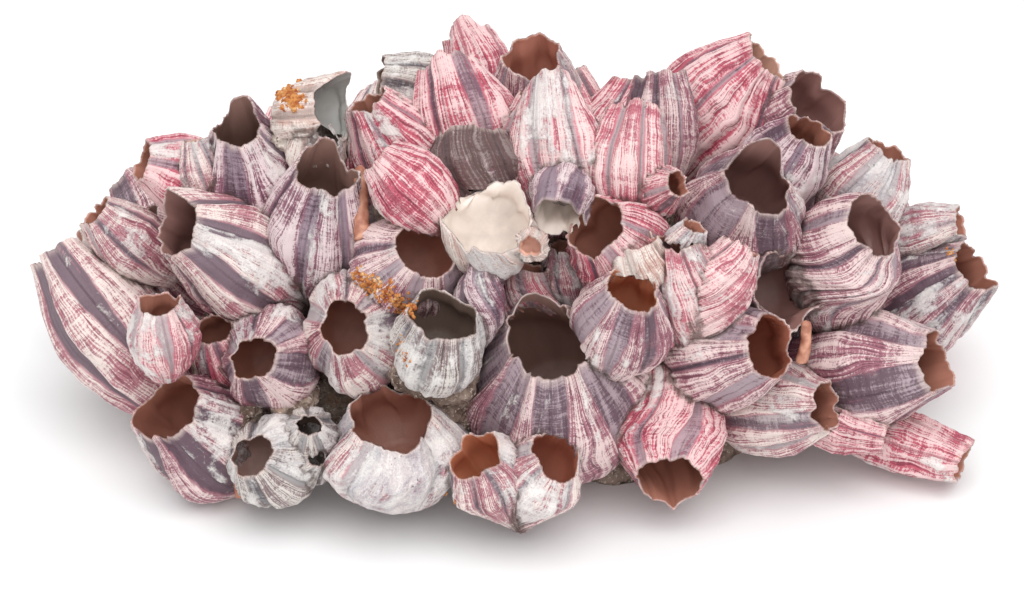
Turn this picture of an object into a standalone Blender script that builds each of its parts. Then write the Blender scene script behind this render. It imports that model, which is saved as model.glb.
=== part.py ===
"""Barnacle cluster: big acorn barnacle shells grown on one another around a bed of old crust.

Each shell is a tulip-shaped cup of six plates, open at its mouth. It is one solid, cut back where an
earlier shell already stands, and the bed fills what is left between the roots. The cluster is cut off
flat underneath, where it grew on its rock, and rests on that cut.
"""

import math
from random import Random

import bmesh
import bpy
from mathutils import Vector, noise

# Driving dimensions, in metres
DOME_HALF = (0.150, 0.085, 0.115)
DOME_POWER = 2.5
CORE_HALF = (0.108, 0.056, 0.070)
CORE_LUMP = 0.007
CORE_FACETS = 2
WALL = 0.0020
GAP = 0.0005
GROUND_CLEARANCE = 0.010
FAR_SIDE_LIFT = 0.3
ROOT_TIP = 0.001
ROOT_LEAST_HEIGHT = 0.002
FLOOR_DIP = 0.0015
MOUTH_CLEARANCE = 0.004
MERGED_FACETS = 4
MERGED_POINTS = 0.0004
CENTRE_SHIFT = (-0.0001, 0.0084)

# How a shell is shaped, as shares of its height and of its belly's radius
FOOT_RADIUS = 0.46
FOOT_TAPER = 0.5
OUTER_RINGS = ((0.0, FOOT_RADIUS), (0.28, 0.84), (0.62, 1.0))
PLAIN_RINGS = ((0.0, 0.50), (0.52, 1.0))
BED_ROOM_RINGS = ((0.0, 0.66), (0.34, 1.16), (0.74, 1.24))
FLOOR_SHARE = 0.36
FAR_FLOOR_SHARE = 0.52
FLOOR_RADIUS = 0.52
WAIST_SHARE = 0.64
WAIST_RADIUS = 0.80
PLATE_BULGE = 0.05
LIP_TOOTH = 0.045
LIP_ALTERNATION = 0.6
OVAL_SPREAD = 0.07
INWARD_LEAN = 0.35
WIDE_BELLY = 0.0345
SMALL_BELLY = 0.031
TINY_BELLY = 0.0165
WIDE_SIDES = 10
NARROW_SIDES = 8
FEW_SIDES = 6

# The shells' places are read along one line of sight, in a picture 1024 by 593 pixels
SIGHT_ELEVATION = math.radians(33)
SIGHT_DISTANCE = 1.35
PIXEL = 0.000314
AIM_PX = (512.0, 296.5)
AIM_RISE = 0.0256

SIGHT = Vector((0, -math.cos(SIGHT_ELEVATION), math.sin(SIGHT_ELEVATION)))
SIGHT_UP = Vector((0, math.sin(SIGHT_ELEVATION), math.cos(SIGHT_ELEVATION)))
SIGHT_RIGHT = Vector((1, 0, 0))

# What most of a shell shows
TINTS = {
    "rose": (0.52, 0.20, 0.27),
    "pink": (0.60, 0.30, 0.36),
    "mauve": (0.36, 0.25, 0.31),
    "purple": (0.25, 0.16, 0.24),
    "white": (0.66, 0.61, 0.58),
    "grey": (0.42, 0.38, 0.39),
    "cream": (0.70, 0.62, 0.50),
    "crust": (0.35, 0.28, 0.24),
}


def dome_share(point):
    """Under 1 inside the dome that the mouths lie on, over 1 outside it."""
    return sum(abs(c / half) ** DOME_POWER for c, half in zip(point, DOME_HALF))


def sight_point(pixel, near):
    """The point seen at a pixel, as far towards the viewer as near says."""
    scale = PIXEL * (1 - near / SIGHT_DISTANCE)
    across = (pixel[0] - AIM_PX[0]) * scale
    rise = AIM_RISE + (AIM_PX[1] - pixel[1]) * scale
    return SIGHT_RIGHT * across + SIGHT_UP * rise + SIGHT * near


def mouth_place(pixel, proud):
    """Where the sight line through a pixel meets the dome, or comes nearest to it above the ground."""
    steps = [0.140 - 0.0005 * i for i in range(560)]
    above = [near for near in steps if sight_point(pixel, near).z > GROUND_CLEARANCE]
    inside = [near for near in above if dome_share(sight_point(pixel, near)) <= 1]
    near = inside[0] if inside else min(above, key=lambda n: dome_share(sight_point(pixel, n)))
    return sight_point(pixel, near + proud)


def seen(mouth_px, aim, tip, height, belly, mouth, tint, proud=0.0, root_px=None, drop=0.0, **shape):
    """A shell in the picture: aim is the way its mouth points there, tip its angle from the sight line.

    Where its root shows, root_px is its pixel and drop how much further back it lies than the mouth.
    """
    aim, tip = math.radians(aim), math.radians(tip)
    across = SIGHT_RIGHT * math.cos(aim) + SIGHT_UP * math.sin(aim)
    axis = across * math.sin(tip) + SIGHT * math.cos(tip)
    place = mouth_place(mouth_px, proud)
    root = sight_point(root_px, place.dot(SIGHT) - drop) if root_px else None
    return grown(place, axis, height, belly, mouth, tint, root, **shape)


def behind(bearing, rise, height, belly, mouth, tint, share=0.95):
    """A shell on the far side: bearing turns from +X towards the back, rise goes up from the ground."""
    bearing, rise = math.radians(bearing), math.radians(rise)
    ray = Vector((math.cos(bearing) * math.cos(rise), math.sin(bearing) * math.cos(rise), math.sin(rise)))
    place = ray * dome_share(ray) ** (-1 / DOME_POWER) * share
    slopes = [abs(c / half) ** (DOME_POWER - 1) / half for c, half in zip(place, DOME_HALF)]
    outward = Vector([math.copysign(slope, c) for slope, c in zip(slopes, place)]).normalized()
    axis = (outward + Vector((0, 0, FAR_SIDE_LIFT))).normalized()
    return {**grown(place, axis, height, belly, mouth, tint), "hidden": True}


def grown(place, axis, height, belly, mouth, tint, root=None, **shape):
    """One shell's own values: where its mouth and root are, and how wide it is."""
    inward = (place - Vector((place.x * 0.6, 0, 0.015))).normalized()
    if root is None:
        root = place - (axis + inward * INWARD_LEAN).normalized() * height
    root.z = max(root.z, ROOT_LEAST_HEIGHT)
    return {
        "mouth": place,
        "axis": axis,
        "root": root,
        "belly": belly / 2,
        "lip": mouth / 2,
        "floor": FLOOR_SHARE,
        "foot": FOOT_RADIUS,
        "tint": tint,
        "hidden": False,
        **shape,
    }


# Every node and the shells grown together in it, the ones that keep their whole shape first
NODES = {
    "heart_pair": [
        seen((476, 456), 128, 34, 0.030, 0.0240, 0.0140, "white", proud=0.012, root_px=(519, 530),
             drop=0.019, foot=0.10, seed=3),
        seen((556, 456), 50, 36, 0.030, 0.0250, 0.0145, "white", proud=0.012, root_px=(521, 531),
             drop=0.019, foot=0.10, seed=4),
    ],
    "front_giant": [
        seen((548, 342), 95, 34, 0.056, 0.052, 0.0245, "mauve", root_px=(572, 436), drop=0.056, seed=0),
    ],
    "front_white": [
        seen((392, 418), 97, 41, 0.044, 0.040, 0.0235, "white", root_px=(410, 500), drop=0.018, seed=1),
    ],
    "front_hanging": [
        seen((670, 482), -92, 42, 0.050, 0.033, 0.018, "rose", proud=0.004, root_px=(652, 360),
             drop=0.008, seed=2),
    ],
    "centre_orange_mouth": [seen((633, 290), 74, 48, 0.034, 0.029, 0.015, "mauve", proud=0.008)],
    "right_front": [seen((770, 347), 12, 40, 0.050, 0.034, 0.017, "mauve", proud=0.004)],
    "right_front_small": [seen((826, 408), 4, 55, 0.044, 0.027, 0.015, "white", proud=-0.004)],
    "right_lower_big": [seen((935, 362), 9, 62, 0.054, 0.035, 0.018, "mauve", proud=0.006)],
    "left_low_gaper": [seen((168, 409), 137, 48, 0.044, 0.036, 0.0205, "mauve")],
    "left_low_trio": [
        seen((254, 455), 150, 28, 0.028, 0.027, 0.0115, "grey", proud=0.011, floor=0.5),
        seen((309, 425), 80, 30, 0.018, 0.017, 0.0060, "grey", proud=0.002),
        seen((317, 456), 20, 34, 0.018, 0.017, 0.0056, "grey", proud=0.004),
    ],
    "left_front_round": [seen((254, 358), 175, 18, 0.034, 0.030, 0.012, "mauve")],
    "middle_rusty": [seen((345, 328), 178, 16, 0.036, 0.036, 0.014, "white")],
    "middle_crimson": [
        seen((424, 251), 52, 34, 0.036, 0.0325, 0.0165, "mauve", root_px=(398, 276), drop=0.032),
    ],
    "middle_dark_mouth": [seen((442, 317), 80, 40, 0.032, 0.027, 0.0180, "grey", proud=0.012)],
    "centre_dark_mouth": [seen((597, 228), 142, 42, 0.038, 0.030, 0.018, "rose")],
    "centre_pink_white": [seen((678, 240), 98, 63, 0.042, 0.024, 0.011, "pink")],
    "right_gaper": [
        seen((874, 226), 24, 50, 0.050, 0.033, 0.0195, "mauve", root_px=(842, 332), drop=0.022),
    ],
    "right_middle_gaper": [seen((759, 184), 68, 30, 0.044, 0.036, 0.0180, "mauve")],
    "left_front_tulip": [
        seen((161, 304), 94, 60, 0.030, 0.0200, 0.0118, "pink", proud=0.008, root_px=(166, 374),
             drop=0.014),
    ],
    "left_gaper": [seen((178, 228), 152, 54, 0.054, 0.035, 0.018, "white")],
    "left_middle": [seen((326, 173), 76, 47, 0.054, 0.031, 0.016, "purple")],
    "left_top_purple": [seen((238, 130), 104, 52, 0.044, 0.032, 0.014, "purple")],
    "broken_white": [
        seen((488, 220), 100, 44, 0.022, 0.0262, 0.0255, "cream", proud=0.004, root_px=(490, 228),
             drop=0.022, floor=0.5),
        seen((530, 247), 240, 30, 0.012, 0.0100, 0.0060, "cream", proud=0.013, root_px=(524, 256),
             drop=0.011, floor=0.72),
    ],
    "bright_pink": [seen((764, 58), 44, 74, 0.050, 0.036, 0.016, "rose")],
    "top_belly": [seen((551, 90), 91, 94, 0.042, 0.034, 0.0180, "pink")],
    "purple_cap": [seen((558, 218), -100, 55, 0.020, 0.0185, 0.0155, "purple")],
    "right_top_front": [seen((808, 130), 55, 50, 0.036, 0.025, 0.012, "purple")],
    "right_top_gaper": [seen((818, 103), 38, 44, 0.036, 0.028, 0.019, "mauve", proud=-0.010)],
    "far_right": [seen((973, 268), 32, 57, 0.048, 0.033, 0.016, "mauve")],
    "right_low_point": [
        seen((963, 462), -16, 78, 0.046, 0.0185, 0.0120, "rose"),
        seen((884, 438), -10, 88, 0.030, 0.0130, 0.0070, "rose"),
    ],
    "far_left_giant": [seen((58, 252), 122, 96, 0.060, 0.034, 0.018, "white")],
    "striped_pink": [seen((742, 246), 62, 86, 0.034, 0.019, 0.010, "pink")],
    "left_upper": [
        seen((143, 162), 165, 72, 0.030, 0.024, 0.012, "rose"),
        seen((196, 140), 100, 85, 0.022, 0.013, 0.006, "white"),
    ],
    "left_back_small": [seen((95, 213), 140, 72, 0.032, 0.020, 0.010, "white")],
    "pink_left": [seen((367, 102), 124, 70, 0.044, 0.028, 0.011, "rose")],
    "pink_left_lower": [seen((380, 158), 140, 92, 0.030, 0.022, 0.011, "rose", proud=0.006)],
    "orange_crusted": [
        seen((332, 112), 14, 58, 0.032, 0.023, 0.018, "cream", root_px=(296, 124), drop=0.016, floor=0.6),
        seen((316, 128), 95, 50, 0.024, 0.018, 0.008, "cream"),
    ],
    "pink_leaning": [seen((450, 68), 105, 95, 0.040, 0.031, 0.0180, "rose")],
    "top_gaper": [seen((533, 57), 95, 48, 0.036, 0.027, 0.018, "mauve", proud=-0.006)],
    "top_peak": [seen((466, 34), 112, 95, 0.030, 0.0195, 0.0120, "rose", proud=-0.014)],
    "grey_back": [seen((380, 78), 172, 82, 0.030, 0.020, 0.012, "grey", proud=-0.012)],
    "speckled_pink": [
        seen((636, 110), 80, 94, 0.040, 0.026, 0.016, "pink"),
        seen((677, 184), 20, 35, 0.020, 0.014, 0.007, "pink"),
    ],
    "mauve_back_fan": [seen((662, 76), 92, 98, 0.034, 0.022, 0.014, "mauve", proud=-0.010)],
    "right_white": [seen((888, 150), 62, 70, 0.034, 0.025, 0.012, "white")],
    "right_back_white": [seen((960, 222), 12, 74, 0.028, 0.018, 0.010, "white")],
    "right_hollow": [seen((790, 288), 10, 24, 0.036, 0.027, 0.0225, "mauve", proud=-0.012)],
    "inner_pointed": [seen((485, 262), 82, 80, 0.026, 0.015, 0.007, "purple")],
    "back_low_right": [
        behind(33, 15, 0.044, 0.038, 0.018, "mauve"),
        behind(47, 19, 0.044, 0.042, 0.019, "rose"),
    ],
    "back_low_middle": [
        behind(67, 17, 0.044, 0.044, 0.020, "rose"),
        behind(91, 20, 0.044, 0.046, 0.022, "mauve"),
    ],
    "back_low_left": [
        behind(115, 17, 0.044, 0.042, 0.018, "mauve"),
        behind(134, 19, 0.046, 0.044, 0.020, "pink"),
    ],
    "back_left": [
        behind(148, 16, 0.044, 0.038, 0.016, "pink"),
        behind(160, 20, 0.044, 0.036, 0.016, "mauve"),
    ],
    "back_end_right": [
        behind(3, 15, 0.046, 0.036, 0.016, "rose"),
        behind(18, 18, 0.046, 0.038, 0.017, "pink", share=0.92),
    ],
    "back_end_left": [
        behind(171, 14, 0.048, 0.038, 0.016, "white"),
        behind(176, 25, 0.048, 0.036, 0.014, "mauve", share=0.84),
    ],
    "back_mid_right": [
        behind(20, 31, 0.046, 0.038, 0.015, "pink", share=0.86),
        behind(38, 38, 0.046, 0.042, 0.017, "mauve", share=0.93),
    ],
    "back_mid_middle": [
        behind(60, 36, 0.048, 0.044, 0.018, "white"),
        behind(80, 42, 0.050, 0.044, 0.017, "pink"),
    ],
    "back_mid_left": [
        behind(101, 38, 0.050, 0.046, 0.019, "rose"),
        behind(121, 41, 0.048, 0.042, 0.016, "white", share=0.92),
    ],
    "back_high_left": [
        behind(140, 35, 0.046, 0.042, 0.016, "pink", share=0.89),
        behind(156, 31, 0.044, 0.036, 0.014, "rose", share=0.86),
        behind(169, 38, 0.044, 0.034, 0.014, "white", share=0.76),
    ],
    "back_top_right": [
        behind(48, 54, 0.042, 0.038, 0.014, "rose", share=0.85),
        behind(73, 60, 0.042, 0.036, 0.015, "pink", share=0.85),
    ],
    "back_top_left": [
        behind(106, 59, 0.042, 0.036, 0.014, "mauve", share=0.83),
        behind(131, 54, 0.042, 0.038, 0.013, "white", share=0.81),
        behind(150, 64, 0.040, 0.032, 0.012, "rose", share=0.80),
    ],
}


def clear_scene():
    """Starts from an empty scene."""
    for obj in list(bpy.data.objects):
        bpy.data.objects.remove(obj, do_unlink=True)


def material(tint):
    """A chalky shell finish in one tint."""
    made = bpy.data.materials.get(f"shell_{tint}")
    if made:
        return made
    made = bpy.data.materials.new(f"shell_{tint}")
    made.use_nodes = True
    finish = made.node_tree.nodes["Principled BSDF"]
    finish.inputs["Base Color"].default_value = (*TINTS[tint], 1.0)
    finish.inputs["Roughness"].default_value = 0.62
    finish.inputs["Metallic"].default_value = 0.0
    return made


def is_wide(one):
    return one["belly"] * 2 >= WIDE_BELLY and not one["hidden"]


def is_plain(one):
    """A small shell, or one that grew on the far side, takes fewer rings."""
    return one["hidden"] or one["belly"] * 2 < SMALL_BELLY


def sides_of(one):
    if one["hidden"] or one["belly"] * 2 < TINY_BELLY:
        return FEW_SIDES
    return WIDE_SIDES if is_wide(one) else NARROW_SIDES


def centre_line(one, share):
    """The shell's curved middle line, from its root at 0 to its mouth at 1, and the way it heads there."""
    start, end = one["root"], one["mouth"]
    bend = end - one["axis"] * (end - start).length * 0.5
    place = start * (1 - share) ** 2 + bend * 2 * share * (1 - share) + end * share**2
    heading = (bend - start) * (1 - share) + (end - bend) * share
    return place, heading.normalized()


def ring(one, share, radius, teeth=0.0, count=None):
    """Points round the shell at a share of its height, its six plates standing a little proud."""
    place, heading = centre_line(one, share)
    across = heading.cross(Vector((0.3, 0.2, 1))).normalized()
    along = heading.cross(across)
    count = count or sides_of(one)
    draw = Random(one["seed"])
    oval = 1 + draw.uniform(-OVAL_SPREAD, OVAL_SPREAD)
    points = []
    for i in range(count):
        angle = 2 * math.pi * i / count
        plate = 1 if i % 2 else -1
        reach = radius * (1 + PLATE_BULGE * plate * min(1, share * 2))
        lift = teeth * (plate * LIP_ALTERNATION + draw.uniform(-1, 1))
        side = across * (math.cos(angle) * oval) + along * (math.sin(angle) / oval)
        points.append(place + side * reach + heading * lift)
    return points


def loft(name, rings, ends):
    """A closed mesh through rings of equal count, its two ends drawn to single points."""
    bm = bmesh.new()
    rows = [[bm.verts.new(point) for point in points] for points in rings]
    count = len(rows[0])
    for low, high in zip(rows, rows[1:]):
        for i in range(count):
            j = (i + 1) % count
            bm.faces.new((low[i], low[j], high[j], high[i]))
    for row, end, turn in ((rows[0], ends[0], True), (rows[-1], ends[1], False)):
        tip = bm.verts.new(end)
        for i in range(count):
            pair = (row[i], row[(i + 1) % count])
            bm.faces.new((*reversed(pair), tip) if turn else (*pair, tip))
    bmesh.ops.triangulate(bm, faces=bm.faces[:])
    bmesh.ops.recalc_face_normals(bm, faces=bm.faces[:])
    if bm.calc_volume(signed=True) < 0:
        bmesh.ops.reverse_faces(bm, faces=bm.faces[:])
    mesh = bpy.data.meshes.new(name)
    bm.to_mesh(mesh)
    bm.free()
    return mesh


def floor_share(one):
    """How far up its height the floor of a shell's hollow is."""
    return FAR_FLOOR_SHARE if one["hidden"] else one["floor"]


def outer_rings(one, grow=0.0):
    """The outside from its root to its lip."""
    narrow = FOOT_RADIUS - one["foot"]
    rings = []
    for share, size in PLAIN_RINGS if is_plain(one) else OUTER_RINGS:
        size -= narrow * max(0, 1 - share / FOOT_TAPER)
        rings.append(ring(one, share, one["belly"] * size + grow))
    _, heading = centre_line(one, 1)
    lip = ring(one, 1.0, one["lip"] + WALL + grow, one["lip"] * 2 * LIP_TOOTH)
    return rings + [[point + heading * grow for point in lip]]


def hollow_rings(one):
    """The hollow from its mouth down to its floor."""
    teeth = one["lip"] * 2 * LIP_TOOTH
    rings = [ring(one, 1.0, one["lip"], teeth)]
    if is_wide(one):
        rings.append(ring(one, WAIST_SHARE, one["belly"] * WAIST_RADIUS))
    return rings + [ring(one, floor_share(one), one["belly"] * FLOOR_RADIUS)]


def root_end(one, grow=0.0):
    """The point that closes the root."""
    place, heading = centre_line(one, 0)
    return place - heading * (ROOT_TIP + grow)


def cup(name, one):
    """The whole shell: its outside up to the lip, then its hollow down to the floor."""
    floor, heading = centre_line(one, floor_share(one))
    ends = (root_end(one), floor - heading * FLOOR_DIP)
    return loft(name, outer_rings(one) + hollow_rings(one), ends)


def filled(name, one, grow=0.0):
    """The shell's outside with its mouth closed over."""
    place, heading = centre_line(one, 1)
    return loft(name, outer_rings(one, grow), (root_end(one, grow), place + heading * (ROOT_TIP + grow)))


def bed_room(name, one):
    """The space that a shell takes out of the bed, in a few wide facets."""
    rings = [ring(one, share, one["belly"] * size, count=FEW_SIDES) for share, size in BED_ROOM_RINGS]
    place, heading = centre_line(one, 1)
    return loft(name, rings, (root_end(one, GAP), place + heading * GAP))


def hollow(name, one):
    """The space inside a shell, open past its mouth."""
    place, heading = centre_line(one, 1)
    floor, low_heading = centre_line(one, floor_share(one))
    above = [point + heading * MOUTH_CLEARANCE for point in ring(one, 1.0, one["lip"])]
    rings = [above] + hollow_rings(one)[1:]
    top = place + heading * (MOUTH_CLEARANCE + ROOT_TIP)
    return loft(name, rings, (top, floor - low_heading * FLOOR_DIP))


def helper(mesh):
    """A hidden object that cuts or joins another."""
    obj = bpy.data.objects.new(mesh.name, mesh)
    obj.hide_render = True
    obj.display_type = "WIRE"
    bpy.context.scene.collection.objects.link(obj)
    return obj


def apply_booleans(obj, steps):
    """Runs each (operation, helper) on the object in turn and keeps the largest body that is left."""
    for operation, other in steps:
        modifier = obj.modifiers.new("shape", "BOOLEAN")
        modifier.operation = operation
        modifier.object = other
        modifier.solver = "EXACT"
    graph = bpy.context.evaluated_depsgraph_get()
    graph.update()
    mesh = bpy.data.meshes.new_from_object(obj.evaluated_get(graph))
    obj.modifiers.clear()
    keep_largest(mesh)
    obj.data = mesh


def keep_largest(mesh):
    """Merges points and facets that nearly meet, and drops scraps that a cut left loose."""
    bm = bmesh.new()
    bm.from_mesh(mesh)
    bmesh.ops.remove_doubles(bm, verts=bm.verts[:], dist=MERGED_POINTS)
    angle = math.radians(MERGED_FACETS)
    bmesh.ops.dissolve_limit(bm, angle_limit=angle, verts=bm.verts[:], edges=bm.edges[:])
    bmesh.ops.triangulate(bm, faces=bm.faces[:])
    left = set(bm.verts)
    bodies = []
    while left:
        queue = [left.pop()]
        body = set(queue)
        while queue:
            for edge in queue.pop().link_edges:
                for vert in edge.verts:
                    if vert in left:
                        left.remove(vert)
                        body.add(vert)
                        queue.append(vert)
        bodies.append(body)
    largest = max(bodies, key=body_size)
    bmesh.ops.delete(bm, geom=[v for v in bm.verts if v not in largest], context="VERTS")
    bm.to_mesh(mesh)
    bm.free()


def body_size(body):
    """The volume of a body's bounding box."""
    spans = [max(v.co[k] for v in body) - min(v.co[k] for v in body) for k in range(3)]
    return spans[0] * spans[1] * spans[2]


def apart(one, other):
    """True where two shells are too far apart to touch."""
    middle = (one["root"] + one["mouth"]) / 2 - (other["root"] + other["mouth"]) / 2
    reach = [(s["root"] - s["mouth"]).length / 2 + s["belly"] for s in (one, other)]
    return middle.length > sum(reach)


def crust_core(name):
    """The bed: a lumpy mound of old crust and grit between the roots, flat underneath."""
    bm = bmesh.new()
    bmesh.ops.create_icosphere(bm, subdivisions=CORE_FACETS, radius=1.0)
    for vert in bm.verts:
        lump = noise.noise(vert.co * 3.1) * CORE_LUMP
        place = Vector([c * half for c, half in zip(vert.co, CORE_HALF)])
        vert.co = place + place.normalized() * lump
    everything = bm.verts[:] + bm.edges[:] + bm.faces[:]
    flat = bmesh.ops.bisect_plane(
        bm, geom=everything, plane_co=(0, 0, 0), plane_no=(0, 0, -1), clear_outer=True
    )
    rim = [item for item in flat["geom_cut"] if isinstance(item, bmesh.types.BMEdge)]
    bmesh.ops.contextual_create(bm, geom=rim)
    bmesh.ops.triangulate(bm, faces=bm.faces[:])
    bmesh.ops.recalc_face_normals(bm, faces=bm.faces[:])
    mesh = bpy.data.meshes.new(name)
    bm.to_mesh(mesh)
    bm.free()
    return mesh


def ground_cutter():
    """Everything below the flat cut."""
    bm = bmesh.new()
    bmesh.ops.create_cube(bm, size=1.0)
    for vert in bm.verts:
        vert.co = Vector((vert.co.x, vert.co.y, vert.co.z - 0.5))
    mesh = bpy.data.meshes.new("ground_cut")
    bm.to_mesh(mesh)
    bm.free()
    return helper(mesh)


def add_node(name, mesh, cluster):
    """A solid of the cluster, riding on its parent."""
    obj = bpy.data.objects.new(name, mesh)
    bpy.context.scene.collection.objects.link(obj)
    obj.parent = cluster
    return obj


def build():
    clear_scene()
    cluster = bpy.data.objects.new("cluster", None)
    bpy.context.scene.collection.objects.link(cluster)
    every = [one for group in NODES.values() for one in group]
    for turn, one in enumerate(every):
        one["seed"] = one.get("seed", turn)
    ground = ground_cutter()
    standing = []
    bed_steps = []
    for node, group in NODES.items():
        obj = add_node(node, cup(node, group[0]), cluster)
        steps = []
        if len(group) > 1:
            obj.data = filled(node, group[0])
            steps += [("UNION", helper(filled(f"{node}_joined", one))) for one in group[1:]]
            steps += [("DIFFERENCE", helper(hollow(f"{node}_hollow", one))) for one in group]
        near = [cutter for other, cutter in standing if any(not apart(one, other) for one in group)]
        steps += [("DIFFERENCE", cutter) for cutter in near]
        if min(corner.z for one in group for points in outer_rings(one) for corner in points) < 0:
            steps.append(("DIFFERENCE", ground))
        if steps:
            apply_booleans(obj, steps)
        standing += [(one, helper(filled(f"{node}_room", one, GAP))) for one in group]
        bed_steps += [("DIFFERENCE", helper(bed_room(f"{node}_bed_room", one))) for one in group]
        obj.data.materials.clear()
        obj.data.materials.append(material(group[0]["tint"]))
        obj.data.shade_smooth()
        obj.data.set_sharp_from_angle(angle=math.radians(40))
    bed = add_node("basal_crust", crust_core("basal_crust"), cluster)
    apply_booleans(bed, bed_steps)
    bed.data.materials.append(material("crust"))
    cluster.location = (*CENTRE_SHIFT, 0)


build()
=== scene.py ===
"""Barnacle cluster: every shell with its plates, ribs, worn lip and smooth hollow, on a gritty bed."""

import math
from random import Random

import bpy
import numpy as np
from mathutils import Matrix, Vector


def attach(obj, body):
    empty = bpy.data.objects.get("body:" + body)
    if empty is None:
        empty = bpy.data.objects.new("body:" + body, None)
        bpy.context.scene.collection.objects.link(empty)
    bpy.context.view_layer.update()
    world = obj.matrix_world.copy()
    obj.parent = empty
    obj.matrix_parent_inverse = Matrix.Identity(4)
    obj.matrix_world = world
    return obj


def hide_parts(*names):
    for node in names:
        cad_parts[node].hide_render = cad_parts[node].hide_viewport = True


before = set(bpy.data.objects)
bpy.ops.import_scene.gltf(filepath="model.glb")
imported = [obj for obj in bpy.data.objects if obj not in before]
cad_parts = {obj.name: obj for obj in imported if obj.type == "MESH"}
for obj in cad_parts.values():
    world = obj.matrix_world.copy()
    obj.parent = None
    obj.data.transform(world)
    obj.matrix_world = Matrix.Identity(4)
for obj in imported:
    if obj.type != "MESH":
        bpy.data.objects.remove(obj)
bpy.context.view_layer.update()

# Driving dimensions, in metres, as in the solids
DOME_HALF = (0.150, 0.085, 0.115)
DOME_POWER = 2.5
CORE_HALF = (0.108, 0.056, 0.070)
GROUND_CLEARANCE = 0.010
FAR_SIDE_LIFT = 0.3
ROOT_TIP = 0.001
ROOT_LEAST_HEIGHT = 0.002
CENTRE_SHIFT = Vector((-0.0001, 0.0084, 0))
FLOOR_SHARE = 0.36
FAR_FLOOR_SHARE = 0.52
FLOOR_DIP = 0.0015
INWARD_LEAN = 0.35
OVAL_SPREAD = 0.07

# The line of sight that the shells' places are read along, in a picture 1024 by 593 pixels
SIGHT_ELEVATION = math.radians(33)
SIGHT_DISTANCE = 1.35
PIXEL = 0.000314
PICTURE_WIDTH = 1024
AIM_PX = (512.0, 296.5)
AIM_RISE = 0.0256
SENSOR = 36

SIGHT = Vector((0, -math.cos(SIGHT_ELEVATION), math.sin(SIGHT_ELEVATION)))
SIGHT_UP = Vector((0, math.sin(SIGHT_ELEVATION), math.cos(SIGHT_ELEVATION)))
SIGHT_RIGHT = Vector((1, 0, 0))

# How the finished shells are shaped
PLATES = 6
FOOT_RADIUS = 0.46
WAIST_TAPER = 0.8
PROFILE = ((0.28, 0.86), (0.60, 1.0))
HOLLOW_PROFILE = ((0.0, 0.58), (0.35, 0.86), (0.7, 0.95), (1.0, 1.1))
RIM = 0.0006
WALL = 0.0020
BURIED = 0.0014
COLUMNS_PER_METRE = 3500
ROWS_PER_METRE = 900


def dome_share(point):
    """Under 1 inside the dome that the mouths lie on, over 1 outside it."""
    return sum(abs(c / half) ** DOME_POWER for c, half in zip(point, DOME_HALF))


def sight_point(pixel, near):
    """The point seen at a pixel, as far towards the viewer as near says."""
    scale = PIXEL * (1 - near / SIGHT_DISTANCE)
    across = (pixel[0] - AIM_PX[0]) * scale
    rise = AIM_RISE + (AIM_PX[1] - pixel[1]) * scale
    return SIGHT_RIGHT * across + SIGHT_UP * rise + SIGHT * near


def mouth_place(pixel, proud):
    """Where the sight line through a pixel meets the dome, or comes nearest to it above the ground."""
    steps = [0.140 - 0.0005 * i for i in range(560)]
    above = [near for near in steps if sight_point(pixel, near).z > GROUND_CLEARANCE]
    inside = [near for near in above if dome_share(sight_point(pixel, near)) <= 1]
    near = inside[0] if inside else min(above, key=lambda n: dome_share(sight_point(pixel, n)))
    return sight_point(pixel, near + proud)


def seen(mouth_px, aim, tip, height, belly, mouth, tint, proud=0.0, root_px=None, drop=0.0, **wear_and_shade):
    """A shell in the picture: aim is the way its mouth points there, tip its angle from the sight line.

    Where its root shows, root_px is its pixel and drop how much further back it lies than the mouth.
    """
    aim, tip = math.radians(aim), math.radians(tip)
    across = SIGHT_RIGHT * math.cos(aim) + SIGHT_UP * math.sin(aim)
    axis = across * math.sin(tip) + SIGHT * math.cos(tip)
    place = mouth_place(mouth_px, proud)
    root = sight_point(root_px, place.dot(SIGHT) - drop) if root_px else None
    return grown(place, axis, height, belly, mouth, tint, wear_and_shade, root)


def behind(bearing, rise, height, belly, mouth, tint, share=0.95, **wear_and_shade):
    """A shell on the far side: bearing turns from +X towards the back, rise goes up from the ground."""
    bearing, rise = math.radians(bearing), math.radians(rise)
    ray = Vector((math.cos(bearing) * math.cos(rise), math.sin(bearing) * math.cos(rise), math.sin(rise)))
    place = ray * dome_share(ray) ** (-1 / DOME_POWER) * share
    slopes = [abs(c / half) ** (DOME_POWER - 1) / half for c, half in zip(place, DOME_HALF)]
    outward = Vector([math.copysign(slope, c) for slope, c in zip(slopes, place)]).normalized()
    axis = (outward + Vector((0, 0, FAR_SIDE_LIFT))).normalized()
    return {**grown(place, axis, height, belly, mouth, tint, wear_and_shade), "hidden": True}


def grown(place, axis, height, belly, mouth, tint, wear_and_shade, root=None):
    """One shell's own values: where its mouth and root are, how wide it is and how it looks."""
    inward = (place - Vector((place.x * 0.6, 0, 0.015))).normalized()
    if root is None:
        root = place - (axis + inward * INWARD_LEAN).normalized() * height
    root.z = max(root.z, ROOT_LEAST_HEIGHT)
    look = {**LOOKS[tint], **wear_and_shade}
    return {
        "mouth": place + CENTRE_SHIFT,
        "axis": axis,
        "root": root + CENTRE_SHIFT,
        "height": height,
        "belly": belly / 2,
        "lip": mouth / 2,
        "tint": tint,
        "hidden": False,
        "peaks": (),
        "floor": FLOOR_SHARE,
        "foot": FOOT_RADIUS,
        "shade": 0.0,
        **look,
    }


def ink(red, green, blue):
    """A display colour from 0 to 255 as the light it reflects."""
    parts = [c / 255 for c in (red, green, blue)]
    return tuple(c / 12.92 if c <= 0.04045 else ((c + 0.055) / 1.055) ** 2.4 for c in parts)


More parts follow.
